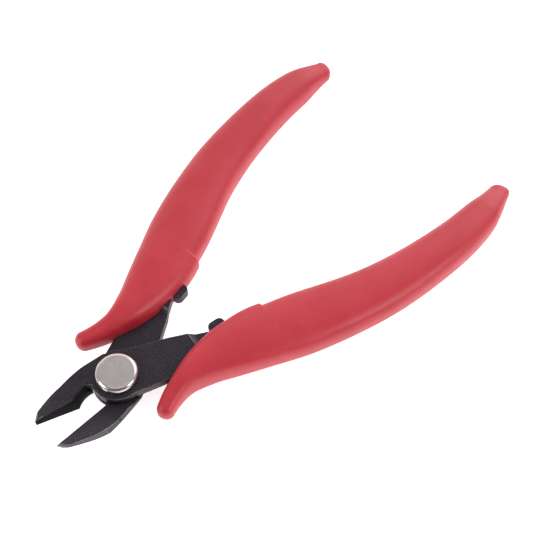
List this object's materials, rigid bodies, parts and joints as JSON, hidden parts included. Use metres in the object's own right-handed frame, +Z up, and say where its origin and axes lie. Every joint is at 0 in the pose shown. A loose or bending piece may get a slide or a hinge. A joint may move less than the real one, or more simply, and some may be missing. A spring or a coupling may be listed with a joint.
{
  "type": "flush cutter",
  "caption": "Small hand cutter with tilted flush jaws, a rivet joint, a wire return spring and curved soft sleeves on both handles.",
  "frame": {"origin": "on the rivet's axis, at the flat end of its tail, which lies in the plane that the tool rests on", "axes": "+Z up through the rivet's head, +Y towards the handles with the open angle split evenly, +X to the upper half's handle"},
  "size_m": [0.0751, 0.1283, 0.01],
  "materials": {
    "blackened_steel": "black oxide, satin, faintly mottled",
    "plated_steel": "satin nickel plate",
    "spring_wire": "drawn spring wire",
    "red_vinyl": "soft dipped vinyl, semi-matt"
  },
  "bodies": {
    "left_handle": {"under_half": "blackened_steel", "left_sleeve": "red_vinyl", "pivot_rivet": "plated_steel", "tail_collar": "plated_steel", "return_spring": "spring_wire"},
    "right_handle": {"upper_half": "blackened_steel", "right_sleeve": "red_vinyl"}
  },
  "joints": [
    {"name": "pivot", "type": "hinge", "parent": "left_handle", "child": "right_handle", "pos_m": [0, 0, 0.005], "axis": [0, 0, 1], "range_deg": [0, 19], "stiffness_Nm_per_rad": 1.2, "springref_deg": -20.05, "deforming": ["return_spring"]}
  ]
}
